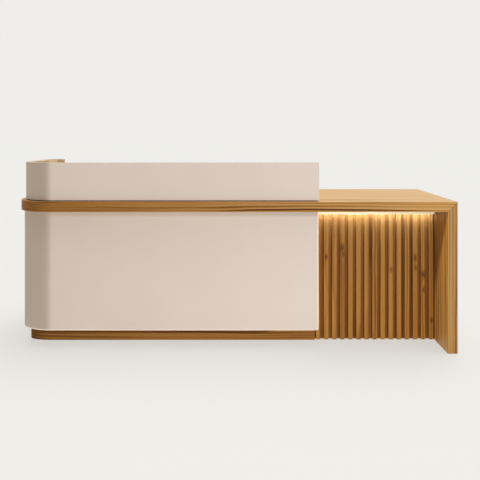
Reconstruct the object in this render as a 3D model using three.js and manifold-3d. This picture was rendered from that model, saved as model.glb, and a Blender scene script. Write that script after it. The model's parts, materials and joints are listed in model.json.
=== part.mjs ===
// Reception desk with a curved lacquered body and riser, a waterfall counter over a lit
// slatted panel, and drawers and a cupboard on the staff side.
// Millimetres, +Z up, +X to the visitor's right, +Y towards the staff side.
// The origin is on the floor, under the middle of the desk's bounding box.
import * as THREE from "three";
import { mergeVertices } from "three/addons/utils/BufferGeometryUtils.js";
import Module from "manifold-3d";

const wasm = await Module();
wasm.setup();

// ---------------------------------------------------------------- driving dimensions
const LENGTH = 2206; // overall, along X
const DEPTH = 700; // overall, along Y
const TOP_Z = 750; // work surface height
const TOP_T = 50; // thickness of the counter and of the waterfall leg
const RISER_Z = 942; // top of the riser
const MITRE_GAP = 0.3; // clearance left in the mitre joint

const XL = -LENGTH / 2; // left end of the counter
const XR = LENGTH / 2; // right face of the waterfall leg
const YF = -DEPTH / 2; // front edge of the counter
const YB = DEPTH / 2; // staff edge of the counter
const UNDER = TOP_Z - TOP_T; // underside of the counter
const LEG_X = XR - TOP_T; // inner face of the leg

// The front left corners are quarter ellipses: half axes along X and along Y.
const RISER_CORNER = [170, 148]; // outer face of the riser
const BODY_CORNER = [170, 110]; // outer face of the body shell
const TOP_RB = 60; // its staff side left corner radius

const RISER_LIP = 22; // the riser stands in from the counter's edge
const RISER_T = 36; // riser wall
const RISER_Z0 = 755; // bottom of the riser, above its shadow strip
const RISER_YB = 132; // staff face of the riser's return
const RISER_RB = 75; // outer radius of the return's corner
const RISER_XE = -975; // free end of the return
const STRIP_IN = 7; // the shadow strip stands in from the riser's faces

const BODY_X = -1091; // left face of the body shell
const BODY_Y = -290; // front face of the body shell
const BODY_T = 25; // body shell wall
const BODY_Z0 = 94; // bottom edge of the body shell
const BODY_XE = 421; // right end of the body and of the riser
const BODY_YB = 325; // staff end of the body's left side

const PLINTH_X = -1089; // left face of the plinth
const PLINTH_Y = -145; // front face of the plinth, behind a toe space
const PLINTH_CORNER = [120, 50];
const PLINTH_T = 18;
const PLINTH_YB = 275;

const BOARD = 18; // cabinet board thickness
const DECK_Z = BODY_Z0 + BOARD; // top of the base deck

const SLAT_COUNT = 15;
const SLAT_PITCH = 42.55;
const SLAT_W = 24;
const SLAT_D = 20;
const SLAT_X0 = 426.9;
const SLAT_YF = -147; // front face of the slats
const SLAT_Z0 = 2;
const BACKING_Z0 = 2;

const GABLE_YB = 301; // staff edge of the gables
const GABLE_L = [-1065.5, -1047.5];
const GABLE_M = [-647, -629];
const GABLE_R = [-212, -194];

const FRONT_Y = [306, 324]; // drawer fronts and door
const DRAWER_FRONT_X = [-1063, -640];
const DRAWER_BOX_X = [-1035, -659.5];
const DRAWER_BOX_Y = [-120, 306];
const DRAWER_WALL = 12;
const DRAWER_BOTTOM = 8;
const RUNNER_W = 12;
const RUNNER_H = 26;
const RUNNER_Y = [-117, 293];
const DRAWERS = [
  // name, front z range, box z range
  { name: "top_drawer", front: [559, 697], box: [574, 670] },
  { name: "middle_drawer", front: [418, 556], box: [433, 529] },
  { name: "file_drawer", front: [115, 415], box: [130, 376] },
];
const PULL_LEN = 160;

const DOOR_X = [-637, -195];
const DOOR_Z = [115, 697];
const PIVOT = { x: -204, y: 315, r: 4 };
const LOCK = { x: -1027, z: 682, r: 8 };

const LED_X = [430, 1040];
const LED_Y = [-185, -167];
const LED_H = 20;
const LENS_DROP = 12; // the opal lens hangs below the channel

const SEG = 32; // facets in a quarter circle of the big corners

// ---------------------------------------------------------------- materials
const mat = (name, color, roughness, metalness = 0) => {
  const m = new THREE.MeshStandardMaterial({ color, roughness, metalness });
  m.name = name;
  return m;
};
const OAK = mat("oak", 0xb98a50, 0.5);
const OAK_DARK = mat("oak_dark", 0x7a5426, 0.6);
const LACQUER = mat("lacquer", 0xd9cbbc, 0.45);
const LAMINATE = mat("laminate", 0xe6dfd4, 0.5);
const BIRCH = mat("birch", 0xdcc59c, 0.55);
const STEEL = mat("steel", 0xb4b6b8, 0.35, 1);
const BRONZE = mat("bronze", 0x8a6f4e, 0.35, 1);
const ALUMINIUM = mat("aluminium", 0xc9cacc, 0.4, 1);
const OPAL = mat("opal", 0xfff1d8, 0.4);
const CIRCUIT = mat("circuit", 0xf2efe6, 0.6);
const PLASTIC = mat("plastic", 0xe9e7e2, 0.45);
const BLACK = mat("black", 0x1c1c1e, 0.5);

// ---------------------------------------------------------------- helpers
const desk = new THREE.Group();
desk.name = "reception_desk";
const group = (name) => {
  const g = new THREE.Group();
  g.name = name;
  desk.add(g);
  return g;
};
const add = (parent, name, geometry, material, x = 0, y = 0, z = 0) => {
  const m = new THREE.Mesh(geometry, material);
  m.name = name;
  m.position.set(x, y, z);
  parent.add(m);
  return m;
};
// A board given by its three ranges.
const board = (parent, name, material, [x0, x1], [y0, y1], [z0, z1]) =>
  add(
    parent,
    name,
    new THREE.BoxGeometry(x1 - x0, y1 - y0, z1 - z0),
    material,
    (x0 + x1) / 2,
    (y0 + y1) / 2,
    (z0 + z1) / 2,
  );
const boxGeometry = ([x0, x1], [y0, y1], [z0, z1]) =>
  new THREE.BoxGeometry(x1 - x0, y1 - y0, z1 - z0).translate(
    (x0 + x1) / 2,
    (y0 + y1) / 2,
    (z0 + z1) / 2,
  );
const extrude = (shape, depth) =>
  new THREE.ExtrudeGeometry(shape, {
    depth,
    bevelEnabled: false,
    curveSegments: SEG,
  });
const polygon = (points) =>
  new THREE.Shape(points.map(([a, b]) => new THREE.Vector2(a, b)));
// Adds a front left corner to an outline, for the faces x = xl and y = yf with half axes a
// and b, moved in by t. It runs from the left face to the front, or back if clockwise.
const corner = (s, xl, yf, a, b, t, clockwise) => {
  const [from, to] = clockwise ? [1.5, 1] : [1, 1.5];
  if (clockwise) s.lineTo(xl + a, yf + t);
  else s.lineTo(xl + t, yf + b);
  s.absellipse(xl + a, yf + b, a - t, b - t, from * Math.PI, to * Math.PI, clockwise, 0);
};
// A profile drawn in X and Z, from y0 to y1.
const alongY = (shape, y0, y1) =>
  extrude(shape, y1 - y0).applyMatrix4(
    new THREE.Matrix4()
      .makeBasis(
        new THREE.Vector3(1, 0, 0),
        new THREE.Vector3(0, 0, 1),
        new THREE.Vector3(0, -1, 0),
      )
      .setPosition(0, y1, 0),
  );
// A profile drawn in Y and Z, from x0 to x1.
const alongX = (shape, x0, x1) =>
  extrude(shape, x1 - x0).applyMatrix4(
    new THREE.Matrix4()
      .makeBasis(
        new THREE.Vector3(0, 1, 0),
        new THREE.Vector3(0, 0, 1),
        new THREE.Vector3(1, 0, 0),
      )
      .setPosition(x0, 0, 0),
  );
const rodZ = (r, x, y, z0, z1, n = 24) =>
  new THREE.CylinderGeometry(r, r, z1 - z0, n)
    .rotateX(Math.PI / 2)
    .translate(x, y, (z0 + z1) / 2);
const rodY = (r, x, z, y0, y1, n = 24) =>
  new THREE.CylinderGeometry(r, r, y1 - y0, n).translate(x, (y0 + y1) / 2, z);

const solid = (geometry) => {
  const g = geometry.index ? geometry.toNonIndexed() : geometry.clone();
  g.deleteAttribute("normal");
  g.deleteAttribute("uv");
  const m = mergeVertices(g, 1e-4);
  return new wasm.Manifold(
    new wasm.Mesh({
      numProp: 3,
      vertProperties: new Float32Array(m.attributes.position.array),
      triVerts: new Uint32Array(m.index.array),
    }),
  );
};
const geometryOf = (manifold) => {
  const m = manifold.getMesh();
  const g = new THREE.BufferGeometry();
  const v = new Float32Array(m.numVert * 3);
  for (let i = 0; i < m.numVert; i++)
    v.set(
      m.vertProperties.subarray(i * m.numProp, i * m.numProp + 3),
      i * 3,
    );
  g.setAttribute("position", new THREE.BufferAttribute(v, 3));
  g.setIndex(new THREE.BufferAttribute(new Uint32Array(m.triVerts), 1));
  g.computeVertexNormals();
  return g;
};
const cut = (base, ...tools) =>
  geometryOf(tools.reduce((s, t) => s.subtract(solid(t)), solid(base)));
const join = (base, ...others) =>
  geometryOf(others.reduce((s, t) => s.add(solid(t)), solid(base)));

// ---------------------------------------------------------------- counter and waterfall leg
const counter = group("counter");

// Counter slab: rounded at its left end, mitred into the leg at its right end, with a
// blind hole underneath for the door's upper pivot.
{
  const s = new THREE.Shape();
  s.moveTo(XR, YF);
  s.lineTo(XR, YB);
  s.lineTo(XL + TOP_RB, YB);
  s.absarc(XL + TOP_RB, YB - TOP_RB, TOP_RB, Math.PI / 2, Math.PI, false);
  corner(s, XL, YF, RISER_CORNER[0] + RISER_LIP, RISER_CORNER[1] + RISER_LIP, 0, false);
  s.closePath();
  add(
    counter,
    "counter_top",
    cut(
      extrude(s, TOP_T).translate(0, 0, UNDER),
      alongY(
        polygon([
          [LEG_X - 1, UNDER - 1],
          [XR + 1, UNDER - 1],
          [XR + 1, TOP_Z + 1],
        ]),
        YF - 1,
        YB + 1,
      ),
      rodZ(PIVOT.r + 0.4, PIVOT.x, PIVOT.y, UNDER - 1, UNDER + 11),
    ),
    OAK,
  );
}
const MITRE = MITRE_GAP * Math.SQRT2;
add(
  counter,
  "end_leg",
  alongY(
    polygon([
      [LEG_X, 0],
      [XR, 0],
      [XR, TOP_Z - MITRE],
      [LEG_X, UNDER - MITRE],
    ]),
    YF,
    YB,
  ),
  OAK,
);
// Steel angle brackets that hold the mitre square.
for (const [name, y] of [
  ["leg_bracket_front", 40],
  ["leg_bracket_rear", 270],
])
  add(
    counter,
    name,
    alongY(
      polygon([
        [LEG_X - 60, UNDER - 3.3],
        [LEG_X - 3.3, UNDER - 3.3],
        [LEG_X - 3.3, UNDER - 60],
        [LEG_X - 0.3, UNDER - 60],
        [LEG_X - 0.3, UNDER - 0.3],
        [LEG_X - 60, UNDER - 0.3],
      ]),
      y - 20,
      y + 20,
    ),
    STEEL,
  );

// ---------------------------------------------------------------- riser, body and plinth
const shell = group("shell");

// Riser plan: front run, left wing and a short return, all one bent wall. The outline is
// drawn from the outer face, and shrunk on both faces by inset.
const riserPlan = (inset) => {
  const xl = XL + RISER_LIP;
  const yf = YF + RISER_LIP;
  const o = inset; // outer face
  const i = RISER_T - inset; // inner face
  const xe = BODY_XE - inset;
  const re = RISER_XE - inset;
  const s = new THREE.Shape();
  s.moveTo(xe, yf + o);
  s.lineTo(xe, yf + i);
  corner(s, xl, yf, ...RISER_CORNER, i, true);
  s.lineTo(xl + i, RISER_YB - RISER_RB);
  s.absarc(xl + RISER_RB, RISER_YB - RISER_RB, RISER_RB - i, Math.PI, Math.PI / 2, true);
  s.lineTo(re, RISER_YB - i);
  s.lineTo(re, RISER_YB - o);
  s.lineTo(xl + RISER_RB, RISER_YB - o);
  s.absarc(xl + RISER_RB, RISER_YB - RISER_RB, RISER_RB - o, Math.PI / 2, Math.PI, false);
  corner(s, xl, yf, ...RISER_CORNER, o, false);
  s.closePath();
  return s;
};
add(
  shell,
  "riser_shell",
  extrude(riserPlan(0), RISER_Z - RISER_Z0),
  LACQUER,
  0,
  0,
  RISER_Z0,
);
add(
  shell,
  "riser_base_strip",
  extrude(riserPlan(STRIP_IN), RISER_Z0 - TOP_Z),
  BLACK,
  0,
  0,
  TOP_Z,
);
// A wall that runs along the front, round a corner and back along the left side.
const bentWall = (xl, yf, [a, b], t, xe, yb) => {
  const s = new THREE.Shape();
  s.moveTo(xe, yf);
  s.lineTo(xe, yf + t);
  corner(s, xl, yf, a, b, t, true);
  s.lineTo(xl + t, yb);
  s.lineTo(xl, yb);
  corner(s, xl, yf, a, b, 0, false);
  s.closePath();
  return s;
};
add(
  shell,
  "body_shell",
  extrude(
    bentWall(BODY_X, BODY_Y, BODY_CORNER, BODY_T, BODY_XE, BODY_YB),
    UNDER - BODY_Z0,
  ),
  LACQUER,
  0,
  0,
  BODY_Z0,
);
add(
  shell,
  "plinth_front",
  extrude(
    bentWall(PLINTH_X, PLINTH_Y, PLINTH_CORNER, PLINTH_T, BODY_XE, PLINTH_YB),
    BODY_Z0,
  ),
  OAK,
);
board(
  shell,
  "plinth_rear",
  OAK,
  [PLINTH_X + PLINTH_T + 0.5, GABLE_R[1]],
  [PLINTH_YB - PLINTH_T, PLINTH_YB],
  [0, BODY_Z0],
);
// Base deck: full depth under the cabinets, a narrow strip behind the front elsewhere.
{
  const t = BODY_T + 0.5;
  const s = new THREE.Shape();
  s.moveTo(BODY_XE, BODY_Y + t);
  s.lineTo(BODY_XE, -122);
  s.lineTo(GABLE_R[1], -122);
  s.lineTo(GABLE_R[1], FRONT_Y[1]);
  s.lineTo(BODY_X + t, FRONT_Y[1]);
  corner(s, BODY_X, BODY_Y, ...BODY_CORNER, t, false);
  s.closePath();
  add(
    shell,
    "base_deck",
    cut(
      extrude(s, BOARD).translate(0, 0, BODY_Z0),
      rodZ(PIVOT.r + 0.4, PIVOT.x, PIVOT.y, DECK_Z - 11, DECK_Z + 1),
    ),
    LAMINATE,
  );
}

// ---------------------------------------------------------------- slatted panel
const slats = group("slatted_panel");
const BACK_Y = [SLAT_YF + SLAT_D, SLAT_YF + SLAT_D + BOARD];
const LEAD_X = SLAT_X0 + 8 * SLAT_PITCH + (SLAT_W + SLAT_PITCH) / 2; // in a gap between slats
add(
  slats,
  "slat_backing",
  cut(
    boxGeometry([BODY_XE + 0.5, LEG_X], BACK_Y, [BACKING_Z0, UNDER]),
    boxGeometry(
      [LEAD_X - 5, LEAD_X + 5],
      [BACK_Y[0] - 1, BACK_Y[1] + 1],
      [UNDER - 13, UNDER + 1],
    ),
  ),
  OAK_DARK,
);
for (let i = 0; i < SLAT_COUNT; i++) {
  const x = SLAT_X0 + i * SLAT_PITCH;
  board(
    slats,
    `slat_${String(i + 1).padStart(2, "0")}`,
    OAK,
    [x, x + SLAT_W],
    [SLAT_YF, SLAT_YF + SLAT_D],
    [SLAT_Z0, UNDER],
  );
}

// ---------------------------------------------------------------- lighting
const lighting = group("lighting");
{
  const [y0, y1] = LED_Y;
  const z0 = UNDER - LED_H;
  const w = 1.2;
  add(
    lighting,
    "led_channel",
    alongX(
      polygon([
        [y0, z0],
        [y0 + w, z0],
        [y0 + w, UNDER - w],
        [y1 - w, UNDER - w],
        [y1 - w, z0],
        [y1, z0],
        [y1, UNDER],
        [y0, UNDER],
      ]),
      ...LED_X,
    ),
    ALUMINIUM,
  );
  board(
    lighting,
    "led_strip",
    CIRCUIT,
    [LED_X[0] + 4, LED_X[1] - 4],
    [y0 + 4, y1 - 4],
    [UNDER - w - 1.6, UNDER - w],
  );
  board(
    lighting,
    "led_diffuser",
    OPAL,
    LED_X,
    [y0 + w + 0.2, y1 - w - 0.2],
    [z0 - LENS_DROP, z0 + 1.6],
  );
}
const DRIVER_X = [720, 900];
const DRIVER_Y = [-103, -59];
const DRIVER_Z = [668, UNDER];
add(
  lighting,
  "led_driver",
  cut(
    boxGeometry(DRIVER_X, DRIVER_Y, DRIVER_Z),
    // mains inlet socket in the left end
    boxGeometry(
      [DRIVER_X[0] - 1, DRIVER_X[0] + 12],
      [-89, -73],
      [DRIVER_Z[0] + 11, DRIVER_Z[0] + 21],
    ),
  ),
  PLASTIC,
);
// Lead from the channel, between two slats and through the backing, to the driver.
add(
  lighting,
  "led_lead",
  rodY(2.5, LEAD_X, UNDER - 5, LED_Y[1] + 0.3, DRIVER_Y[0] - 0.3, 12),
  PLASTIC,
);
// Switch under the staff edge of the counter, and its lead back to the driver.
const SWITCH_X = [600, 640];
const SWITCH_Y = [296, 322];
const SWITCH_Z = [UNDER - 26, UNDER];
const SW = { x: 620, y: 317, z: UNDER - 13, half: 10, tilt: 8 };
add(
  lighting,
  "switch_housing",
  cut(
    boxGeometry(SWITCH_X, SWITCH_Y, SWITCH_Z),
    boxGeometry(
      [SW.x - 8.6, SW.x + 8.6],
      [SWITCH_Y[0] + 12, SWITCH_Y[1] + 1],
      [SW.z - SW.half - 0.9, SW.z + SW.half + 0.9],
    ),
  ),
  BLACK,
);
{
  // Rocker: a shallow wedge either side of its axle, resting pressed at the top (on).
  const g = new THREE.Group();
  g.position.set(SW.x, SW.y - 3, SW.z);
  g.rotation.x = THREE.MathUtils.degToRad(SW.tilt);
  lighting.add(g);
  const h = SW.half;
  add(
    g,
    "switch_rocker",
    alongX(
      polygon([
        [-4, -2.5],
        [0, -h],
        [5.2, -h],
        [3.2, 0],
        [5.2, h],
        [0, h],
        [-4, 2.5],
      ]),
      -8,
      8,
    ),
    BLACK,
  );
}
{
  const z = UNDER - 4;
  const path = new THREE.CurvePath();
  const p = [
    [620, SWITCH_Y[0] - 0.3],
    [620, 10],
    [650, -20],
    [840, -20],
    [860, -40],
    [860, DRIVER_Y[1] + 0.3],
  ].map(([x, y]) => new THREE.Vector3(x, y, z));
  path.add(new THREE.LineCurve3(p[0], p[1]));
  path.add(
    new THREE.QuadraticBezierCurve3(p[1], new THREE.Vector3(620, -20, z), p[2]),
  );
  path.add(new THREE.LineCurve3(p[2], p[3]));
  path.add(
    new THREE.QuadraticBezierCurve3(p[3], new THREE.Vector3(860, -20, z), p[4]),
  );
  path.add(new THREE.LineCurve3(p[4], p[5]));
  const ring = new THREE.Shape();
  ring.absarc(0, 0, 2.5, 0, 2 * Math.PI, false);
  add(
    lighting,
    "switch_lead",
    new THREE.ExtrudeGeometry(ring, {
      steps: 48,
      curveSegments: 8,
      extrudePath: path,
      bevelEnabled: false,
    }),
    PLASTIC,
  );
}

// ---------------------------------------------------------------- cabinets
const cabinet = group("cabinet");
board(cabinet, "gable_left", LAMINATE, GABLE_L, [-125, GABLE_YB], [DECK_Z, UNDER]);
board(cabinet, "gable_middle", LAMINATE, GABLE_M, [-262, GABLE_YB], [DECK_Z, UNDER]);
board(cabinet, "gable_right", LAMINATE, GABLE_R, [-262, GABLE_YB], [DECK_Z, UNDER]);
// Centre gable: closes the right end of the body, stands on the deck at the front and on
// the floor behind it, and carries the counter at the riser's end.
add(
  cabinet,
  "centre_gable",
  alongX(
    polygon([
      [BODY_Y + BODY_T + 0.5, DECK_Z],
      [-121.5, DECK_Z],
      [-121.5, 0],
      [60, 0],
      [60, UNDER],
      [BODY_Y + BODY_T + 0.5, UNDER],
    ]),
    BODY_XE - BODY_T,
    BODY_XE,
  ),
  LACQUER,
);
board(
  cabinet,
  "cupboard_shelf",
  LAMINATE,
  [GABLE_M[1] + 0.5, GABLE_R[0] - 0.5],
  [-258, 287],
  [396, 396 + BOARD],
);

// A bar pull: two posts and a slim bar, standing off the front.
const pull = (x, z, vertical) => {
  const y = FRONT_Y[1];
  const h = PULL_LEN / 2;
  const bar = vertical
    ? boxGeometry([x - 4, x + 4], [y + 16, y + 23], [z - h, z + h])
    : boxGeometry([x - h, x + h], [y + 16, y + 23], [z - 4, z + 4]);
  const posts = [-1, 1].map((k) =>
    vertical
      ? boxGeometry([x - 4, x + 4], [y, y + 17], [z + k * 64 - 4, z + k * 64 + 4])
      : boxGeometry([x + k * 64 - 4, x + k * 64 + 4], [y, y + 17], [z - 4, z + 4]),
  );
  return join(bar, ...posts);
};

const drawers = group("drawers");
for (const d of DRAWERS) {
  const frontBox = boxGeometry(DRAWER_FRONT_X, FRONT_Y, d.front);
  add(
    drawers,
    `${d.name}_front`,
    d.name === "top_drawer"
      ? cut(
          frontBox,
          rodY(LOCK.r + 0.3, LOCK.x, LOCK.z, FRONT_Y[0] - 1, FRONT_Y[1] + 1),
        )
      : frontBox,
    LACQUER,
  );
  const [x0, x1] = DRAWER_BOX_X;
  const [y0, y1] = DRAWER_BOX_Y;
  const w = DRAWER_WALL;
  add(
    drawers,
    `${d.name}_box`,
    cut(
      boxGeometry(DRAWER_BOX_X, DRAWER_BOX_Y, d.box),
      boxGeometry(
        [x0 + w, x1 - w],
        [y0 + w, y1 - w],
        [d.box[0] + DRAWER_BOTTOM, d.box[1] + 1],
      ),
    ),
    BIRCH,
  );
  add(
    drawers,
    `${d.name}_pull`,
    pull((DRAWER_FRONT_X[0] + DRAWER_FRONT_X[1]) / 2, d.front[1] - 40, false),
    BRONZE,
  );
  // Runners: a C-shaped track on each gable, open towards the drawer.
  for (const [side, wall, k] of [
    ["left", GABLE_L[1], 1],
    ["right", GABLE_M[0], -1],
  ]) {
    const z0 = d.box[0];
    const z1 = z0 + RUNNER_H;
    const c = [
      [0, z0],
      [RUNNER_W, z0],
      [RUNNER_W, z0 + 2],
      [2, z0 + 2],
      [2, z1 - 2],
      [RUNNER_W, z1 - 2],
      [RUNNER_W, z1],
      [0, z1],
    ].map(([a, b]) => [wall + k * a, b]);
    add(
      drawers,
      `${d.name}_runner_${side}`,
      alongY(polygon(c), ...RUNNER_Y),
      STEEL,
    );
  }
}
// Lock barrel in the top drawer's front, with a key slot.
add(
  drawers,
  "lock_barrel",
  cut(
    join(
      rodY(LOCK.r, LOCK.x, LOCK.z, GABLE_YB, FRONT_Y[1] + 1.5),
      rodY(LOCK.r + 2, LOCK.x, LOCK.z, FRONT_Y[1] + 0.3, FRONT_Y[1] + 2.3),
    ),
    boxGeometry(
      [LOCK.x - 1, LOCK.x + 1],
      [FRONT_Y[1] - 6, FRONT_Y[1] + 4],
      [LOCK.z - 4, LOCK.z + 4],
    ),
  ),
  STEEL,
);

// Cupboard door, hung on a pivot pin at its top and bottom edges.
const door = group("cupboard_door");
add(
  door,
  "door_panel",
  cut(
    boxGeometry(DOOR_X, FRONT_Y, DOOR_Z),
    rodZ(PIVOT.r + 0.05, PIVOT.x, PIVOT.y, DOOR_Z[0] - 1, DOOR_Z[0] + 20),
    rodZ(PIVOT.r + 0.05, PIVOT.x, PIVOT.y, DOOR_Z[1] - 20, DOOR_Z[1] + 1),
  ),
  LACQUER,
);
add(door, "door_pull", pull(DOOR_X[0] + 40, 560, true), BRONZE);
add(
  door,
  "door_pivot_top",
  rodZ(PIVOT.r, PIVOT.x, PIVOT.y, DOOR_Z[1] - 19, UNDER + 9),
  STEEL,
);
add(
  door,
  "door_pivot_bottom",
  rodZ(PIVOT.r, PIVOT.x, PIVOT.y, DECK_Z - 9, DOOR_Z[0] + 19),
  STEEL,
);

export default desk;
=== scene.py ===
import json
import math

import bmesh
import bpy
from mathutils import Matrix, Vector


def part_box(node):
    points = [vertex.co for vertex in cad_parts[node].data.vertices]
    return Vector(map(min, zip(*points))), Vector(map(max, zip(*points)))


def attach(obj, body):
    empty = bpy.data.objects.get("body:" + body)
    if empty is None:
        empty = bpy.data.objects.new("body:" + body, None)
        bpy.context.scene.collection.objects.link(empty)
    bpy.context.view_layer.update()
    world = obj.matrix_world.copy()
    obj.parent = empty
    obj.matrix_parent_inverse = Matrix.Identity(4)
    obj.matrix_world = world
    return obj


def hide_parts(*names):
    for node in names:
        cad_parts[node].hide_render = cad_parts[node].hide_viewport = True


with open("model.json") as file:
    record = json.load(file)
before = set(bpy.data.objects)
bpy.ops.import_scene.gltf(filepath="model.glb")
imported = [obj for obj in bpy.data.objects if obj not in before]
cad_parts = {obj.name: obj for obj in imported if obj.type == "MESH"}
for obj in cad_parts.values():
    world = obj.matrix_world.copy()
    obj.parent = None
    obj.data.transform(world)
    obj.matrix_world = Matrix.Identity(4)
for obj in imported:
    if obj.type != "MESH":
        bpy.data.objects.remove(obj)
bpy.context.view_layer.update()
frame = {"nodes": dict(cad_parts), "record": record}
scene = bpy.context.scene
scene.view_settings.view_transform = "Standard"
scene.view_settings.look = "None"


# ------------------------------------------------------------------ colours
def lin(r, g, b):
    """An 8-bit colour as linear RGBA."""
    return tuple(
        c / 12.92 if c <= 0.04045 else ((c + 0.055) / 1.055) ** 2.4
        for c in (r / 255, g / 255, b / 255)
    ) + (1.0,)


# ------------------------------------------------------------------ node helpers
class Tree:
    """Short calls for building one material's nodes."""

    def __init__(self, name):
        self.mat = bpy.data.materials.new(name)
        self.mat.use_nodes = True
        self.t = self.mat.node_tree
        self.t.nodes.clear()
        self.out = self.t.nodes.new("ShaderNodeOutputMaterial")
        self.bsdf = self.t.nodes.new("ShaderNodeBsdfPrincipled")
        self.t.links.new(self.bsdf.outputs["BSDF"], self.out.inputs["Surface"])

    def node(self, kind, **props):
        n = self.t.nodes.new(kind)
        for k, v in props.items():
            setattr(n, k, v)
        return n

    def put(self, value, socket):
        if isinstance(value, bpy.types.NodeSocket):
            self.t.links.new(value, socket)
        else:
            socket.default_value = value

    def math(self, op, a, b=0.0, c=0.0, clamp=False):
        n = self.node("ShaderNodeMath", operation=op, use_clamp=clamp)
        for v, s in zip((a, b, c), n.inputs):
            self.put(v, s)
        return n.outputs[0]

    def vmath(self, op, a, b=(0, 0, 0), scale=None):
        n = self.node("ShaderNodeVectorMath", operation=op)
        self.put(a, n.inputs[0])
        self.put(b, n.inputs[1])
        if scale is not None:
            self.put(scale, n.inputs["Scale"])
        return n.outputs["Value" if op in ("LENGTH", "DOT_PRODUCT", "DISTANCE") else 0]

    def coords(self):
        return self.node("ShaderNodeTexCoord").outputs["Object"]

    def split(self, v):
        n = self.node("ShaderNodeSeparateXYZ")
        self.put(v, n.inputs[0])
        return n.outputs

    def join(self, x, y, z):
        n = self.node("ShaderNodeCombineXYZ")
        for v, s in zip((x, y, z), n.inputs):
            self.put(v, s)
        return n.outputs[0]

    def noise(self, vector, scale=1.0, detail=2.0, rough=0.5, distort=0.0):
        n = self.node("ShaderNodeTexNoise")
        self.put(vector, n.inputs["Vector"])
        n.inputs["Scale"].default_value = scale
        n.inputs["Detail"].default_value = detail
        n.inputs["Roughness"].default_value = rough
        n.inputs["Distortion"].default_value = distort
        return n.outputs["Fac"]

    def white(self, w):
        n = self.node("ShaderNodeTexWhiteNoise", noise_dimensions="1D")
        self.put(w, n.inputs["W"])
        return n.outputs["Value"]

    def remap(self, v, a, b, c=0.0, d=1.0, smooth=True):
        n = self.node(
            "ShaderNodeMapRange", interpolation_type="SMOOTHSTEP" if smooth else "LINEAR"
        )
        self.put(v, n.inputs["Value"])
        for s, x in zip(("From Min", "From Max", "To Min", "To Max"), (a, b, c, d)):
            self.put(x, n.inputs[s])
        return n.outputs["Result"]

    def ramp(self, v, stops):
        n = self.node("ShaderNodeValToRGB")
        self.put(v, n.inputs[0])
        e = n.color_ramp.elements
        while len(e) < len(stops):
            e.new(0.5)
        for el, (p, c) in zip(e, stops):
            el.position = p
            el.color = c
        return n.outputs["Color"]

    def mix(self, f, a, b, mode="MIX"):
        n = self.node("ShaderNodeMix", data_type="RGBA", blend_type=mode)
        self.put(f, n.inputs[0])
        self.put(a, n.inputs[6])
        self.put(b, n.inputs[7])
        return n.outputs[2]

    def bump(self, height, strength, distance, normal=None):
        n = self.node("ShaderNodeBump")
        n.inputs["Strength"].default_value = strength
        n.inputs["Distance"].default_value = distance
        self.put(height, n.inputs["Height"])
        if normal is not None:
            self.put(normal, n.inputs["Normal"])
        return n.outputs["Normal"]

    def set(self, **values):
        for k, v in values.items():
            self.put(v, self.bsdf.inputs[k.replace("_", " ")])
        return self.mat


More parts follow.
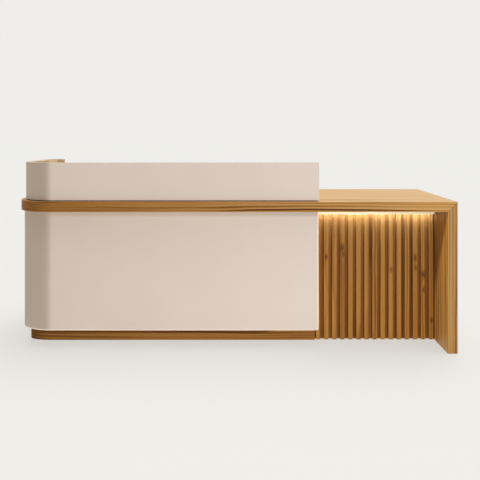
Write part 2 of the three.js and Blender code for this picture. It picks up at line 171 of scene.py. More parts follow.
# ------------------------------------------------------------------ materials
def wood(
    name,
    axis,
    tones,
    pith=(0.0, 0.0),
    spacing=0.011,
    stave=None,
    stave_axis=1,
    rough=(0.36, 0.52),
    knots=(),
    fade=None,
    wobble=0.010,
    line=1.0,
    streak=0.7,
    spread=0.10,
    shine=0.35,
    top=None,
    bold=None,
):
    """Solid oak: growth rings round a pith line along the grain, fibres and pores.

    axis is the grain's axis. The other two axes, in order, are v and w. pith is the pith's
    (v, w). stave cuts the board into strips of that width along v (0) or w (1), each with
    its own figure and tone. knots are (u, v, w, half length, half width). fade is
    (low u, high u, low factors, high factors): factors that multiply the colour, blended along u;
    on some boards below it paints shade or sheen. top holds the lighter, quieter tones that faces
    turned up take: partly the top veneer's own tone, partly painted light from above and painted
    sheen. bold holds (low u, high u, low, high), the strength of the late wood's lines along the board.
    """
    t = Tree(name)
    p = t.split(t.coords())
    order = {"X": (0, 1, 2), "Y": (1, 0, 2), "Z": (2, 0, 1)}[axis]
    u, v, w = (p[i] for i in order)
    tone = 0.0
    us = u
    if stave:
        k = t.math("FLOOR", t.math("DIVIDE", (v, w)[stave_axis], stave))
        h = t.white(k)
        h2 = t.white(t.math("ADD", k, 0.37))
        us = t.math("ADD", u, t.math("MULTIPLY", h, 9.0))
        tone = t.math("MULTIPLY", t.math("SUBTRACT", h2, 0.5), spread)
    # the log's own wander
    slow = t.join(t.math("MULTIPLY", us, 1.3), t.math("MULTIPLY", v, 5.0), t.math("MULTIPLY", w, 5.0))
    warp = t.math("MULTIPLY", t.math("SUBTRACT", t.noise(slow, 1.0, 2.0, 0.5), 0.5), wobble * 4.0)
    dv = t.math("SUBTRACT", v, pith[0])
    dw = t.math("SUBTRACT", w, pith[1])
    r = t.math("SQRT", t.math("ADD", t.math("MULTIPLY", dv, dv), t.math("MULTIPLY", dw, dw)))
    r = t.math("ADD", r, warp)
    if stave:
        r = t.math("ADD", r, t.math("MULTIPLY", h, 0.7))
    # years of uneven width
    years = t.noise(t.join(t.math("MULTIPLY", r, 34.0), t.math("MULTIPLY", us, 0.35), 0.0), 1.0, 1.0, 0.5)
    r2 = t.math("ADD", r, t.math("MULTIPLY", years, spacing * 2.2))
    s = t.math("FRACT", t.math("DIVIDE", r2, spacing))
    late = t.math("MULTIPLY", t.remap(s, 0.30, 0.86), t.remap(s, 0.90, 1.0, 1.0, 0.0))
    weight = t.noise(t.join(t.math("MULTIPLY", r, 55.0), t.math("MULTIPLY", us, 0.8), 3.0), 1.0, 1.0)
    late = t.math("MULTIPLY", late, t.remap(weight, 0.34, 0.66, 0.25, 1.0))
    # fibres, broad streaks and pores
    fine = t.noise(t.join(t.math("MULTIPLY", us, 7.0), t.math("MULTIPLY", v, 620.0), t.math("MULTIPLY", w, 620.0)), 1.0, 3.0, 0.6)
    broad = t.noise(t.join(t.math("MULTIPLY", us, 1.1), t.math("MULTIPLY", v, 42.0), t.math("MULTIPLY", w, 42.0)), 1.0, 3.0, 0.55)
    pore = t.noise(t.join(t.math("MULTIPLY", us, 38.0), t.math("MULTIPLY", v, 1500.0), t.math("MULTIPLY", w, 1500.0)), 1.0, 1.0, 0.5)
    pores = t.math("MULTIPLY", t.remap(pore, 0.60, 0.72), t.remap(late, 0.0, 0.7, 1.0, 0.35))
    g = t.math("MULTIPLY", late, 0.52 * line)
    if bold:
        for k in bold:
            g = t.math("MULTIPLY", g, t.remap(u, *k))
    g = t.math("ADD", g, t.math("MULTIPLY", t.math("SUBTRACT", broad, 0.5), streak))
    g = t.math("ADD", g, t.math("MULTIPLY", t.math("SUBTRACT", fine, 0.5), 0.42))
    g = t.math("ADD", g, 0.30)
    if stave:
        g = t.math("ADD", g, tone)
    knot = None
    for ku, kv, kw, a, b in knots:
        d = t.vmath("MULTIPLY", t.vmath("SUBTRACT", t.join(u, v, w), (ku, kv, kw)), (1 / a, 1 / b, 1 / b))
        d = t.vmath("LENGTH", d)
        knot = d if knot is None else t.math("MINIMUM", knot, d)
    if knot is not None:
        ragged = t.math("ADD", knot, t.math("MULTIPLY", t.math("SUBTRACT", t.noise(t.coords(), 190.0, 3.0), 0.5), 2.2))
        heart = t.remap(ragged, 0.35, 1.0, 1.0, 0.0)
        swirl = t.math("MULTIPLY", t.remap(ragged, 1.0, 2.6, 1.0, 0.0), t.math("MULTIPLY", t.math("ADD", t.math("SINE", t.math("MULTIPLY", ragged, 9.0)), 1.0), 0.30))
        g = t.math("ADD", g, t.math("ADD", t.math("MULTIPLY", heart, 0.28), swirl))
    col = t.ramp(g, [(0.0, tones[0]), (0.38, tones[1]), (0.72, tones[2]), (1.0, tones[3])])
    col = t.mix(t.math("MULTIPLY", pores, 0.45), col, tones[3])
    # fade multiplies the colour by factors blended along u: painted shade or sheen on some boards.
    if fade:
        c = t.join(*(t.remap(u, fade[0], fade[1], a, b) for a, b in zip(fade[2], fade[3])))
        col = t.mix(1.0, col, c, "MULTIPLY")
    # Faces turned up take the lighter top tones: partly the veneer's own tone, partly painted light from above and
    # painted sheen; bevels turned partly up take them too, a painted edge highlight. Faces turned down take up to 0.4
    # of them.
    if top:
        up = t.split(t.node("ShaderNodeNewGeometry").outputs["Normal"])[2]
        q = t.math("ADD", t.math("MULTIPLY", late, 0.40), t.math("MULTIPLY", t.math("SUBTRACT", broad, 0.5), 0.55))
        q = t.math("ADD", q, t.math("MULTIPLY", t.math("SUBTRACT", fine, 0.5), 0.42))
        q = t.math("ADD", t.math("ADD", q, tone), 0.30)
        face = t.ramp(q, [(0.0, top[0]), (0.38, top[1]), (0.72, top[2]), (1.0, top[3])])
        face = t.mix(t.math("MULTIPLY", pores, 0.30), face, top[3])
        under = t.remap(up, -0.25, -0.92, 0.0, 0.4)
        col = t.mix(t.math("ADD", t.remap(up, 0.25, 0.92), under), col, face)
    height = t.math("SUBTRACT", t.math("MULTIPLY", fine, 0.5), t.math("ADD", t.math("MULTIPLY", pores, 0.9), t.math("MULTIPLY", late, 0.25)))
    t.set(
        Base_Color=col,
        Roughness=t.remap(g, 0.0, 1.0, rough[0], rough[1], smooth=False),
        Normal=t.bump(height, 0.22, 0.0006),
    )
    if top:
        shine = t.remap(up, 0.75, 0.97, 0.08, shine)
    return t.set(IOR=1.5, Specular_IOR_Level=shine)


def lacquer(name, color, color2, rough=0.5):
    """Sprayed satin lacquer: a faint cloudiness and a fine orange peel."""
    t = Tree(name)
    p = t.coords()
    cloud = t.noise(p, 2.6, 3.0, 0.55)
    grit = t.noise(p, 900.0, 2.0, 0.5)
    peel = t.noise(p, 260.0, 2.0, 0.5)
    col = t.mix(t.remap(cloud, 0.3, 0.7), color, color2)
    return t.set(
        Base_Color=col,
        Roughness=t.math("ADD", rough - 0.04, t.math("MULTIPLY", grit, 0.08)),
        Normal=t.bump(t.math("ADD", peel, t.math("MULTIPLY", grit, 0.4)), 0.05, 0.0004),
        IOR=1.48,
        Specular_IOR_Level=0.22,
    )


def board(name, color, color2, rough=0.5):
    """Matt melamine with a faint mottle."""
    t = Tree(name)
    p = t.coords()
    fleck = t.noise(p, 420.0, 3.0, 0.6)
    cloud = t.noise(p, 6.0, 2.0)
    col = t.mix(t.remap(t.math("ADD", t.math("MULTIPLY", fleck, 0.6), t.math("MULTIPLY", cloud, 0.4)), 0.35, 0.65), color, color2)
    return t.set(
        Base_Color=col,
        Roughness=t.math("ADD", rough - 0.05, t.math("MULTIPLY", fleck, 0.1)),
        Normal=t.bump(fleck, 0.06, 0.0003),
    )


def metal(name, color, rough, brush=None, wear=0.08):
    """Metal with brushing along one axis, or a fine cast of grey where it isn't brushed."""
    t = Tree(name)
    p = t.split(t.coords())
    k = {"X": (9, 1500, 1500), "Y": (1500, 9, 1500), "Z": (1500, 1500, 9), None: (700, 700, 700)}[brush]
    streak = t.noise(t.join(*(t.math("MULTIPLY", c, float(s)) for c, s in zip(p, k))), 1.0, 2.0, 0.6)
    cloud = t.noise(t.coords(), 24.0, 3.0)
    dark = tuple(c * (1 - 2.2 * wear) for c in color[:3]) + (1,)
    col = t.mix(t.remap(t.math("ADD", t.math("MULTIPLY", streak, 0.6), t.math("MULTIPLY", cloud, 0.4)), 0.3, 0.7), dark, color)
    return t.set(
        Base_Color=col,
        Metallic=1.0,
        Roughness=t.remap(streak, 0.25, 0.75, rough - 0.08, rough + 0.1),
        Normal=t.bump(streak, 0.08, 0.0002),
    )


def plastic(name, color, rough):
    """Moulded plastic with a fine spark texture."""
    t = Tree(name)
    p = t.coords()
    spark = t.noise(p, 1300.0, 2.0, 0.6)
    cloud = t.noise(p, 30.0, 2.0)
    dark = tuple(c * 0.86 for c in color[:3]) + (1,)
    return t.set(
        Base_Color=t.mix(t.remap(cloud, 0.3, 0.7), dark, color),
        Roughness=t.math("ADD", rough - 0.06, t.math("MULTIPLY", spark, 0.12)),
        Normal=t.bump(spark, 0.12, 0.0003),
    )


OAK_TONES = (lin(206, 153, 84), lin(186, 131, 62), lin(150, 97, 36), lin(92, 52, 16))
# Lighter, quieter tones for faces turned up: partly the top veneer's own tone, partly painted light from above and
# painted sheen.
TOP_VENEER_LIT_TONES = (lin(233, 193, 136), lin(222, 181, 123), lin(196, 153, 96), lin(142, 98, 50))
# Oak for the slats' backing, darker than the slats: partly its own tone, partly painted shade in the gaps between the
# slats.
BACKING_SHADED_TONES = (lin(166, 112, 50), lin(147, 95, 37), lin(118, 72, 23), lin(77, 42, 11))
VENEER_TONES = (lin(230, 206, 170), lin(220, 194, 156), lin(202, 172, 132), lin(166, 132, 92))
SLAT_KNOTS = (
    (0.437, 0.481, -0.147, 0.010, 0.005),
    (0.485, 0.566, -0.147, 0.014, 0.006),
    (0.455, 0.571, -0.147, 0.008, 0.004),
    (0.369, 0.822, -0.147, 0.010, 0.005),
    (0.432, 0.949, -0.147, 0.013, 0.006),
    (0.380, 0.952, -0.147, 0.010, 0.005),
    (0.342, 0.991, -0.147, 0.013, 0.007),
    (0.264, 0.994, -0.147, 0.009, 0.004),
    (0.105, 1.036, -0.147, 0.009, 0.005),
)
# The counter's fade darkens its left end and lightens and greys its right end: partly the board's tone, partly painted
# sheen of the key light at the right.
oak_counter = wood("oak_counter", "X", OAK_TONES, pith=(-0.30, 0.30), spacing=0.015, stave=0.14, stave_axis=0, fade=(-1.1, 1.1, (0.69, 0.64, 0.63), (1.04, 1.17, 1.68)), line=1.0, bold=((-0.3, 0.4, 0.8, 2.9), (0.55, 1.05, 1.0, 0.3)), top=TOP_VENEER_LIT_TONES, shine=0.12)
oak_leg = wood("oak_leg", "Z", OAK_TONES, pith=(0.75, -0.40), spacing=0.015, stave=0.14, stave_axis=1, line=1.3, fade=(0.0, 0.75, (0.68, 0.72, 0.80), (0.70, 0.76, 0.86)))
# The plinth's fade scales its oak to about a third: painted shade of its recess under the body.
oak_plinth_shaded = wood("oak_plinth_shaded", "X", OAK_TONES, pith=(-0.1, -0.4), spacing=0.014, fade=(-1.1, 0.42, (0.40, 0.35, 0.27), (0.42, 0.37, 0.29)), shine=0.1)
# The slats' fade darkens them by a tenth towards the top: painted shade under the counter.
oak_slat = wood("oak_slat", "Z", OAK_TONES, pith=(0.60, -0.9), spacing=0.007, stave=0.04255, stave_axis=0, streak=0.5, wobble=0.004, knots=SLAT_KNOTS, fade=(0.0, 0.7, (1.00, 0.97, 0.80), (0.90, 0.88, 0.78)), spread=0.05, shine=0.2)
oak_backing_shaded = wood("oak_backing", "Z", BACKING_SHADED_TONES, pith=(0.7, -0.5), wobble=0.004, shine=0.15)
veneer = wood("light_veneer", "X", VENEER_TONES, pith=(0.0, 0.2), spacing=0.012, line=0.7)
beige = lacquer("beige_lacquer", (0.662, 0.547, 0.449, 1), (0.678, 0.561, 0.465, 1))
melamine = board("melamine", lin(222, 213, 200), lin(226, 218, 206))
birch = wood("birch_ply", "Y", (lin(232, 212, 174), lin(224, 200, 158), lin(206, 176, 130), lin(176, 140, 94)), pith=(0.0, -0.4), spacing=0.016, line=0.6)
steel = metal("zinc_steel", (0.60, 0.61, 0.62, 1), 0.34)
bronze = metal("brushed_bronze", (0.42, 0.30, 0.18, 1), 0.32, "X")
bronze_up = metal("brushed_bronze_upright", (0.42, 0.30, 0.18, 1), 0.32, "Z")
alu = metal("anodised_aluminium", (0.72, 0.73, 0.74, 1), 0.36, "X")
white_plastic = plastic("white_plastic", lin(226, 224, 218), 0.45)
black_plastic = plastic("black_plastic", lin(30, 30, 32), 0.42)
# Near-black strip at the riser's foot: its colour also paints the shade of the gap there.
shadow_strip = plastic("dark_strip", lin(20, 17, 14), 0.7)


def light_material(name, color, strength):
    t = Tree(name)
    cloud = t.noise(t.coords(), 60.0, 2.0)
    t.set(Base_Color=t.mix(t.remap(cloud, 0.3, 0.7), lin(250, 236, 205), lin(255, 243, 216)), Roughness=0.5)
    t.bsdf.inputs["Emission Color"].default_value = color
    t.bsdf.inputs["Emission Strength"].default_value = strength
    return t.mat


opal = light_material("opal_diffuser", (1.0, 0.88, 0.66, 1), 0.38)
led_board = light_material("led_board", (1.0, 0.80, 0.50, 1), 4.0)


# ------------------------------------------------------------------ pieces
def body_of(node):
    for b, members in frame["record"]["behaviour"]["bodies"].items():
        if node in members:
            return b


def finish_mesh(name, bm, material, body, smooth=True):
    me = bpy.data.meshes.new(name)
    bmesh.ops.recalc_face_normals(bm, faces=bm.faces)
    for f in bm.faces:
        f.smooth = smooth
    bm.to_mesh(me)
    bm.free()
    me.materials.append(material)
    ob = bpy.data.objects.new(name, me)
    scene.collection.objects.link(ob)
    if smooth:
        m = ob.modifiers.new("weighted", "WEIGHTED_NORMAL")
        m.keep_sharp = True
        m.weight = 60
    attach(ob, body)
    return ob


def dressed(node, material, bevel=0.0010, seg=2, shortest=0.0016, angle=28, foot=None):
    """The CAD solid with its facets merged and its edges eased, more at its foot if asked."""
    bm = bmesh.new()
    bm.from_mesh(frame["nodes"][node].data)
    bmesh.ops.remove_doubles(bm, verts=bm.verts, dist=2e-6)
    bmesh.ops.dissolve_limit(
        bm, angle_limit=math.radians(0.4), verts=bm.verts, edges=bm.edges
    )
    low = min(v.co.z for v in bm.verts) + 1e-5
    for radius, steps, lowest in ((foot, 5, True), (bevel, seg, False)):
        if not radius:
            continue
        edges = [
            e
            for e in bm.edges
            if len(e.link_faces) == 2
            and e.calc_face_angle(0) > math.radians(angle)
            and e.calc_length() > shortest
            and (not lowest or max(v.co.z for v in e.verts) < low)
        ]
        bmesh.ops.bevel(
            bm,
            geom=edges,
            offset=radius,
            offset_type="OFFSET",
            segments=steps,
            profile=0.5,
            affect="EDGES",
            clamp_overlap=True,
        )
    ob = finish_mesh(node + "_piece", bm, material, body_of(node))
    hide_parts(node)
    return ob


dressed("counter_top", oak_counter, 0.0022, 3)
dressed("end_leg", oak_leg, 0.0018, 3)
dressed("riser_shell", beige, 0.0020, 3, foot=0.0015)
dressed("body_shell", beige, 0.0020, 3, foot=0.010)
# The riser's foot strip is near-black, which also paints the shade of the gap under the riser.
dressed("riser_base_strip", shadow_strip, 0.0004, 1)
# The plinth's darkened oak is painted shade of the recess under the body.
dressed("plinth_front", oak_plinth_shaded, 0.0008, 2, foot=0.005)
dressed("plinth_rear", oak_plinth_shaded, 0.0008, 2)
dressed("base_deck", melamine, 0.0006, 2)
# The backing's darker oak paints part of the shade between the slats.
dressed("slat_backing", oak_backing_shaded, 0.0008, 2)
for i in range(1, 16):
    dressed(f"slat_{i:02d}", oak_slat, 0.0016, 3, foot=0.004)
for n in ("gable_left", "gable_middle", "gable_right", "cupboard_shelf"):
    dressed(n, melamine, 0.0007, 2)
dressed("centre_gable", beige, 0.0012, 2)
for d in ("top_drawer", "middle_drawer", "file_drawer"):
    dressed(d + "_front", beige, 0.0016, 3)
    dressed(d + "_box", birch, 0.0007, 2)
    dressed(d + "_pull", bronze, 0.0012, 3)
    for s in ("left", "right"):
        dressed(f"{d}_runner_{s}", steel, 0.0003, 1)
dressed("lock_barrel", steel, 0.0004, 2, shortest=0.0009)
dressed("door_panel", beige, 0.0016, 3)
dressed("door_pull", bronze_up, 0.0012, 3)
dressed("door_pivot_top", steel, 0.0004, 2, shortest=0.0004)
dressed("door_pivot_bottom", steel, 0.0004, 2, shortest=0.0004)
dressed("led_channel", alu, 0.0002, 1)
dressed("led_strip", led_board, 0.0002, 1)
dressed("led_diffuser", opal, 0.0003, 2)
dressed("led_driver", white_plastic, 0.0020, 3)
dressed("led_lead", white_plastic, 0.0002, 1)
dressed("switch_lead", white_plastic, 0.0002, 1)
dressed("switch_housing", black_plastic, 0.0014, 3)
dressed("switch_rocker", black_plastic, 0.0007, 2)
dressed("leg_bracket_front", steel, 0.0005, 2)
dressed("leg_bracket_rear", steel, 0.0005, 2)


# ------------------------------------------------------------------ fittings
MM = 0.001


def skin(bm, rings, loop=False):
    """Faces between rings of points, capped at both ends unless the rings close on themselves."""
    made = [[bm.verts.new(p) for p in r] for r in rings]
    n = len(made[0])
    pairs = list(zip(made, made[1:])) + ([(made[-1], made[0])] if loop else [])
    for a, b in pairs:
        for i in range(n):
            j = (i + 1) % n
            bm.faces.new((a[i], a[j], b[j], b[i]))
    if not loop:
        bm.faces.new(list(reversed(made[0])))
        bm.faces.new(made[-1])


def turned(bm, at, axis, profile, n=24, loop=False):
    """A turned part, in mm. profile holds (radius, distance along axis, sides): sides makes a
    ring a polygon, such as a socket's hexagon."""
    a = Vector(axis).normalized()
    x = a.orthogonal().normalized()
    y = a.cross(x)
    rings = []
    for r, h, sides in profile:
        ring = []
        for i in range(n):
            th = 2 * math.pi * i / n
            k = 1.0
            if sides:
                half = math.pi / sides
                k = math.cos(half) / math.cos(th % (2 * half) - half)
            ring.append((Vector(at) + a * h + (x * math.cos(th) + y * math.sin(th)) * r * k) * MM)
        rings.append(ring)
    skin(bm, rings, loop)


def prism(bm, outline, axis, low, high):
    """An outline in mm, drawn in the two other axes in order, drawn out along axis."""
    i = "XYZ".index(axis)

    def point(uv, w):
        q = list(uv)
        q.insert(i, w)
        return Vector(q) * MM

    skin(bm, [[point(uv, low) for uv in outline], [point(uv, high) for uv in outline]])


def eased(bm, radius, angle=40):
    """Round the sharp edges of everything in bm."""
    edges = [
        e for e in bm.edges if len(e.link_faces) == 2 and e.calc_face_angle(0) > math.radians(angle)
    ]
    bmesh.ops.bevel(
        bm, geom=edges, offset=radius * MM, offset_type="OFFSET", segments=2, profile=0.5,
        affect="EDGES", clamp_overlap=True,
    )


def fitting(name, bm, material, body):
    ob = finish_mesh(name + "_piece", bm, material, body)
    return ob


def screw(bm, at, axis, r=4.5, h=2.6):
    """Round head with a hexagon socket."""
    turned(bm, at, axis, [(r, 0, 0), (r, 0.35 * h, 0), (0.93 * r, 0.72 * h, 0), (0.76 * r, h, 0), (0.54 * r, h, 6), (0.51 * r, 0.3 * h, 6)])


def rounded(u0, u1, v0, v1, r, n=5):
    """Outline of a rectangle with round corners."""
    pts = []
    for cu, cv, a0 in ((u1 - r, v0 + r, -90), (u1 - r, v1 - r, 0), (u0 + r, v1 - r, 90), (u0 + r, v0 + r, 180)):
        for k in range(n + 1):
            a = math.radians(a0 + 90 * k / n)
            pts.append((cu + r * math.cos(a), cv + r * math.sin(a)))
    return pts


def lining(d):
    """The riser's staff faces, round to the end of its return, moved out by d."""
    pts = [(420.5, -292 + d)]
    for k in range(49):
        a = math.radians(270 - 90 * k / 48)
        pts.append((-911 + (134 - d) * math.cos(a), -180 + (112 - d) * math.sin(a)))
    for k in range(25):
        a = math.radians(180 - 90 * k / 24)
        pts.append((-1006 + (39 - d) * math.cos(a), 57 + (39 - d) * math.sin(a)))
    return pts + [(-975 + d, 96 - d), (-975 + d, 131)]


# veneer that lines the riser's staff faces
bm = bmesh.new()
prism(bm, lining(0.1) + list(reversed(lining(1.3))), "Z", 755.4, 941.4)
eased(bm, 0.3, 60)
fitting("riser_lining", bm, veneer, "desk")

# lipping on the right ends of the riser and the body
for part, y0, y1, z0, z1 in (("riser", -326.2, -291.8, 756.8, 940.2), ("body", -288.2, -266.2, 100.0, 698.6)):
    bm = bmesh.new()
    prism(bm, [(y0, z0), (y1, z0), (y1, z1), (y0, z1)], "X", 420.9, 421.4)
    eased(bm, 0.15)
    fitting(part + "_lipping", bm, beige, "desk")

# screws of the two leg brackets, up into the counter and across into the leg
for side in ("front", "rear"):
    lo, hi = (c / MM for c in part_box("leg_bracket_" + side))
    y = (lo.y + hi.y) / 2
    bm = bmesh.new()
    for dy in (-10, 10):
        screw(bm, (lo.x + 18, y + dy, hi.z - 3), (0, 0, -1))
        screw(bm, (hi.x - 3, y + dy, lo.z + 18), (-1, 0, 0))
    fitting("leg_bracket_" + side + "_screws", bm, steel, "desk")

# nylon rollers on the drawers, running in the tracks, and the screws that hold the fronts
ROLLER = [(2.4, 0, 0), (2.4, 1.3, 0), (4.2, 1.4, 0), (4.2, 1.9, 0), (8.4, 2.0, 0), (9.0, 2.6, 0), (9.0, 3.8, 0), (8.3, 4.3, 0), (8.3, 5.0, 0), (9.0, 5.5, 0), (9.0, 6.7, 0), (8.4, 7.3, 0), (4.6, 7.4, 0), (4.6, 7.0, 0), (2.6, 7.0, 0), (2.6, 8.2, 0), (1.8, 8.6, 0)]
for d in ("top_drawer", "middle_drawer", "file_drawer"):
    lo, hi = (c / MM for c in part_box(d + "_box"))
    bm = bmesh.new()
    for side, x, sign in (("left", lo.x, -1), ("right", hi.x, 1)):
        a, b = (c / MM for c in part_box(f"{d}_runner_{side}"))
        turned(bm, (x, lo.y + 14, (a.z + b.z) / 2), (sign, 0, 0), ROLLER, 32)
    fitting(d + "_rollers", bm, white_plastic, d)
    bm = bmesh.new()
    for x in (lo.x + 70, hi.x - 70):
        for z in (lo.z + 24, hi.z - 24):
            screw(bm, (x, hi.y - 12, z), (0, -1, 0), 4.2, 2.2)
    fitting(d + "_front_screws", bm, steel, d)

# steel rails on the file drawer's side walls, for hanging files
lo, hi = (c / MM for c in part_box("file_drawer_box"))
bm = bmesh.new()
for x, s in ((lo.x, 1), (hi.x, -1)):
    prism(
        bm,
        [(x + s * a, lo.z - lo.z + hi.z + b) for a, b in ((0.6, 0), (0.6, 1.2), (13.2, 1.2), (13.2, -9), (12.2, -9), (12.2, 0))][:: s],
        "Y", lo.y + 14, hi.y - 14,
    )
eased(bm, 0.25)
fitting("file_drawer_rails", bm, steel, "file_drawer")

# soft stops on the cabinet's edges behind the fronts
DOME = [(3.6, 0, 0), (3.6, 0.7, 0), (3.2, 1.8, 0), (2.4, 2.7, 0), (1.2, 3.3, 0), (0.3, 3.5, 0)]
bm = bmesh.new()
for x, zs in ((-1056.5, (688, 547, 400, 130)), (-643.2, (688, 547, 400, 130)), (-633.0, (688, 406, 130))):
    for z in zs:
        turned(bm, (x, 301, z), (0, 1, 0), DOME, 20)
fitting("soft_stops", bm, white_plastic, "desk")

# shelf pins
PIN = [(4.2, 0, 0), (4.2, 0.8, 0), (3.9, 1.1, 0), (2.5, 1.2, 0), (2.5, 7.2, 0), (2.1, 7.8, 0)]
bm = bmesh.new()
for y in (-200, 240):
    turned(bm, (-629, y, 393.4), (1, 0, 0), PIN)
    turned(bm, (-212, y, 393.4), (-1, 0, 0), PIN)
fitting("shelf_pins", bm, steel, "desk")

# washers at the door's two pins
WASHER = [(4.5, 0, 0), (8.6, 0, 0), (9.0, 0.3, 0), (9.0, 1.9, 0), (8.6, 2.2, 0), (4.5, 2.2, 0)]
bm = bmesh.new()
turned(bm, (-204, 315, 697.5), (0, 0, 1), WASHER, 32, loop=True)
turned(bm, (-204, 315, 112.4), (0, 0, 1), WASHER, 32, loop=True)
fitting("door_washers", bm, white_plastic, "desk")

# end caps of the light profile
bm = bmesh.new()
for low, high in ((428.2, 429.9), (1040.1, 1041.8)):
    prism(bm, rounded(-185.6, -166.4, 667.4, 699.8, 2.0), "X", low, high)
eased(bm, 0.35)
fitting("led_end_caps", bm, white_plastic, "desk")

# fixing ears, ribs and inlet pins of the driver
lo, hi = (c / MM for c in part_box("led_driver"))
y = (lo.y + hi.y) / 2
bm = bmesh.new()
for low, high in ((lo.x - 15, lo.x + 1), (hi.x - 1, hi.x + 15)):
    prism(bm, rounded(low, high, y - 12, y + 12, 4), "Z", 696.8, 699.8)
for k in range(9):
    x = lo.x + 30 + 15 * k
    prism(bm, rounded(x, x + 4, lo.y + 6, hi.y - 6, 1.5, 3), "Z", lo.z - 1.1, lo.z + 0.5)
eased(bm, 0.4)
fitting("led_driver_ears", bm, white_plastic, "desk")
bm = bmesh.new()
for x in (lo.x - 8, hi.x + 8):
    screw(bm, (x, y, 696.8), (0, 0, -1), 3.6, 2.0)
for y in (-84.6, -77.4):
    turned(bm, (732, y, 684), (-1, 0, 0), [(1.2, 0, 0), (1.2, 8.4, 0), (0.9, 9.3, 0), (0.3, 9.8, 0)], 16)
fitting("led_driver_screws", bm, steel, "desk")

# saddles that hold the switch lead under the counter
def saddle(bm, at, along):
    x, y, z = at
    arc = [math.radians(180 + 15 * k) for k in range(13)]
    pts = [(-8, 699.9), (-8, 698.7), (-3.7, 698.7)]
    pts += [(3.7 * math.cos(a), z + 3.7 * math.sin(a)) for a in arc]
    pts += [(3.7, 698.7), (8, 698.7), (8, 699.9), (2.65, 699.9)]
    pts += [(2.65 * math.cos(a), z + 2.65 * math.sin(a)) for a in reversed(arc)]
    pts += [(-2.65, 699.9)]
    if along == "Y":
        prism(bm, [(x + u, v) for u, v in pts], "Y", y - 4, y + 4)
    else:
        prism(bm, [(y + u, v) for u, v in pts], "X", x - 4, x + 4)


bm = bmesh.new()
for y in (262, 170, 78):
    saddle(bm, (620, y, 696), "Y")
for x in (700, 790):
    saddle(bm, (x, -20, 696), "X")
fitting("lead_saddles", bm, white_plastic, "desk")


# ------------------------------------------------------------------ stage
def plane(name, size, z, material):
    bm = bmesh.new()
    bmesh.ops.create_grid(bm, x_segments=1, y_segments=1, size=size / 2)
    me = bpy.data.meshes.new(name)
    bm.to_mesh(me)
    bm.free()
    me.materials.append(material)
    ob = bpy.data.objects.new(name, me)
    ob.location.z = z
    scene.collection.objects.link(ob)
    return ob


BACKDROP = lin(239, 238, 234)
GLOW = 0.64  # share of the floor's light that is its own
floor_mat = Tree("pale_floor")
floor_mat.set(
    Base_Color=floor_mat.mix(floor_mat.noise(floor_mat.coords(), 3.0, 3.0), (0.307, 0.3165, 0.3165, 1), (0.310, 0.3195, 0.3195, 1)),
    Roughness=0.9,
)
floor_mat.bsdf.inputs["Specular IOR Level"].default_value = 0.0
floor_mat.bsdf.inputs["Emission Color"].default_value = BACKDROP
floor_mat.bsdf.inputs["Emission Strength"].default_value = GLOW
floor_mat.mat.cycles.emission_sampling = "NONE"
floor = plane("floor", 120.0, 0.0, floor_mat.mat)

world = bpy.data.worlds.new("studio")
scene.world = world
world.use_nodes = True
wt = world.node_tree
wt.nodes.clear()


def wnode(kind, **props):
    n = wt.nodes.new(kind)
    for k, v in props.items():
        setattr(n, k, v)
    return n


direction = wnode("ShaderNodeTexCoord").outputs["Generated"]


def lobe(towards, power, strength):
    """A soft light from one side of the studio."""
    c = Vector(towards).normalized()
    d = wnode("ShaderNodeVectorMath", operation="DOT_PRODUCT")
    wt.links.new(direction, d.inputs[0])
    d.inputs[1].default_value = c
    m = wnode("ShaderNodeMath", operation="MAXIMUM")
    wt.links.new(d.outputs["Value"], m.inputs[0])
    m.inputs[1].default_value = 0.0
    p = wnode("ShaderNodeMath", operation="POWER")
    wt.links.new(m.outputs[0], p.inputs[0])
    p.inputs[1].default_value = power
    s = wnode("ShaderNodeMath", operation="MULTIPLY")
    wt.links.new(p.outputs[0], s.inputs[0])
    s.inputs[1].default_value = strength
    return s.outputs[0]


light = lobe((0.22, 0.16, 1.0), 5.0, 3.15)
bg_light = wnode("ShaderNodeBackground")
bg_light.inputs["Color"].default_value = (1.0, 0.99, 0.975, 1)
wt.links.new(light, bg_light.inputs["Strength"])
bg_warm = wnode("ShaderNodeBackground")
bg_warm.inputs["Color"].default_value = (1.0, 0.83, 0.59, 1)
bg_warm.inputs["Strength"].default_value = 0.14
both = wnode("ShaderNodeAddShader")
wt.links.new(bg_light.outputs[0], both.inputs[0])
wt.links.new(bg_warm.outputs[0], both.inputs[1])
bg_seen = wnode("ShaderNodeBackground")
bg_seen.inputs["Color"].default_value = BACKDROP
bg_seen.inputs["Strength"].default_value = 1.0
path = wnode("ShaderNodeLightPath")
either = wnode("ShaderNodeMath", operation="MAXIMUM")
wt.links.new(path.outputs["Is Camera Ray"], either.inputs[0])
wt.links.new(path.outputs["Is Glossy Ray"], either.inputs[1])
mixer = wnode("ShaderNodeMixShader")
wt.links.new(either.outputs[0], mixer.inputs[0])
wt.links.new(both.outputs[0], mixer.inputs[1])
wt.links.new(bg_seen.outputs[0], mixer.inputs[2])
wt.links.new(mixer.outputs[0], wnode("ShaderNodeOutputWorld").inputs["Surface"])


def lights_only(source, name, objects):
    """Let a light reach these objects and nothing else."""
    c = bpy.data.collections.new(name)
    for o in objects:
        c.objects.link(o)
    source.light_linking.receiver_collection = c


pieces = [o for o in scene.objects if o.type == "MESH" and o.name.endswith("_piece")]


def panel(name, size, energy, color, at, towards, receivers):
    """A soft panel for these pieces."""
    data = bpy.data.lights.new(name, "AREA")
    data.shape = "RECTANGLE"
    data.size, data.size_y = size
    data.energy = energy
    data.color = color
    ob = bpy.data.objects.new(name, data)
    ob.location = at
    ob.rotation_euler = (Vector(towards) - Vector(at)).to_track_quat("-Z", "Y").to_euler()
    ob.visible_camera = False
    scene.collection.objects.link(ob)
    lights_only(ob, name + "_lit", receivers)


def named(*names):
    return [o for o in pieces if o.name.startswith(names)]


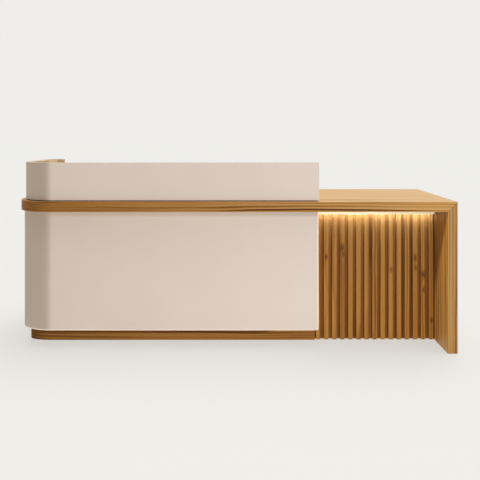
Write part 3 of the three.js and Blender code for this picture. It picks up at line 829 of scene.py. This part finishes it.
# Key from the right. On the lacquered walls it comes almost along the front, so that their
# curve on the left turns away from it.
COOL = (0.84, 0.925, 1.07)
lacquered = named("body_shell", "riser_shell", "riser_lining")
panel("key", (1.9, 1.4), 840.0, COOL, (8.0, -4.2, 1.5), (-0.2, -0.2, 0.5), [o for o in pieces if o not in lacquered and not o.name.startswith(("slat_", "plinth_front"))])
panel("plinth_key", (0.5, 0.15), 1620.0, COOL, (8.0, -4.2, 1.75), (-0.2, -0.2, 0.05), named("plinth_front"))
panel("body_key", (0.36, 0.11), 1270.0, COOL, (7.5, -1.15, 1.07), (-0.2, -0.3, 0.4), named("body_shell"))
panel("body_key_low", (1.4, 0.4), 964.0, COOL, (7.5, -1.45, 0.45), (-0.2, -0.3, 0.4), named("body_shell"))
panel("riser_key", (2.0, 0.5), 3750.0, COOL, (10.5, -2.0, 0.95), (-0.2, -0.3, 0.85), named("riser_shell"))
# The lens's throw on the slats.
throw_data = bpy.data.lights.new("lens_throw", "AREA")
throw_data.shape = "RECTANGLE"
throw_data.size = 0.606
throw_data.size_y = 0.006
throw_data.energy = 0.50
throw_data.color = (0.86, 1.22, 2.1)
throw = bpy.data.objects.new("lens_throw", throw_data)
throw.location = (0.735, -0.180, 0.667)
throw.rotation_euler = Vector((0, 1, -0.45)).to_track_quat("-Z", "Y").to_euler()
throw.visible_camera = False
scene.collection.objects.link(throw)
lights_only(throw, "lens_lit", named("slat_", "end_leg"))
# The same light where it falls down between the slats.
spill_data = throw_data.copy()
spill_data.name = "lens_spill"
spill_data.size_y = 0.016
spill_data.energy = 6.6
spill_data.color = (0.84, 1.22, 2.5)
spill = bpy.data.objects.new("lens_spill", spill_data)
spill.location = (0.735, -0.137, 0.6995)
spill.visible_camera = False
scene.collection.objects.link(spill)
lights_only(spill, "spill_lit", named("slat_"))
wash_data = spill_data.copy()
wash_data.name = "backing_wash"
wash_data.energy = 3.6
wash = bpy.data.objects.new("backing_wash", wash_data)
wash.location = (0.735, -0.139, 0.6995)
wash.visible_camera = False
scene.collection.objects.link(wash)
lights_only(wash, "wash_lit", named("slat_backing"))


# Fill for the recess under the counter, square on, and for the leg's inner face, from above.
panel("fill", (1.2, 0.8), 31.0, (1.0, 0.96, 0.90), (1.1, -3.2, 1.2), (0.75, -0.15, 0.35), named("slat_"))
panel("leg_fill", (0.4, 0.2), 146.0, (1.0, 0.95, 0.88), (-1.5, -1.4, 3.0), (1.05, -0.25, 0.4), named("end_leg"))
# The floor's own light on the foot of the desk.
panel("floor_bounce", (1.6, 0.3), 1.0, (1.0, 0.98, 0.95), (-0.33, -0.75, 0.01), (-0.33, -0.29, 0.40), named("body_shell"))
panel("foot_bounce", (1.5, 0.02), 0.8, (1.0, 0.98, 0.95), (-0.33, -0.276, 0.012), (-0.33, -0.276, 1.0), named("body_shell"))
panel("plinth_bounce", (1.9, 0.010), 0.09, (1.0, 0.98, 0.95), (-0.33, -0.190, 0.016), (-0.33, -0.145, 0.016), named("plinth_front"))

# ------------------------------------------------------------------ camera
cam_data = bpy.data.cameras.new("camera")
cam_data.sensor_width = 36.0
cam_data.lens = 46.125
cam_data.shift_y = -0.2223
cam_data.clip_end = 200.0
cam = bpy.data.objects.new("camera", cam_data)
cam.location = (0.027, -3.387, 1.089)
cam.rotation_euler = (math.radians(90), 0, 0)
scene.collection.objects.link(cam)
scene.camera = cam
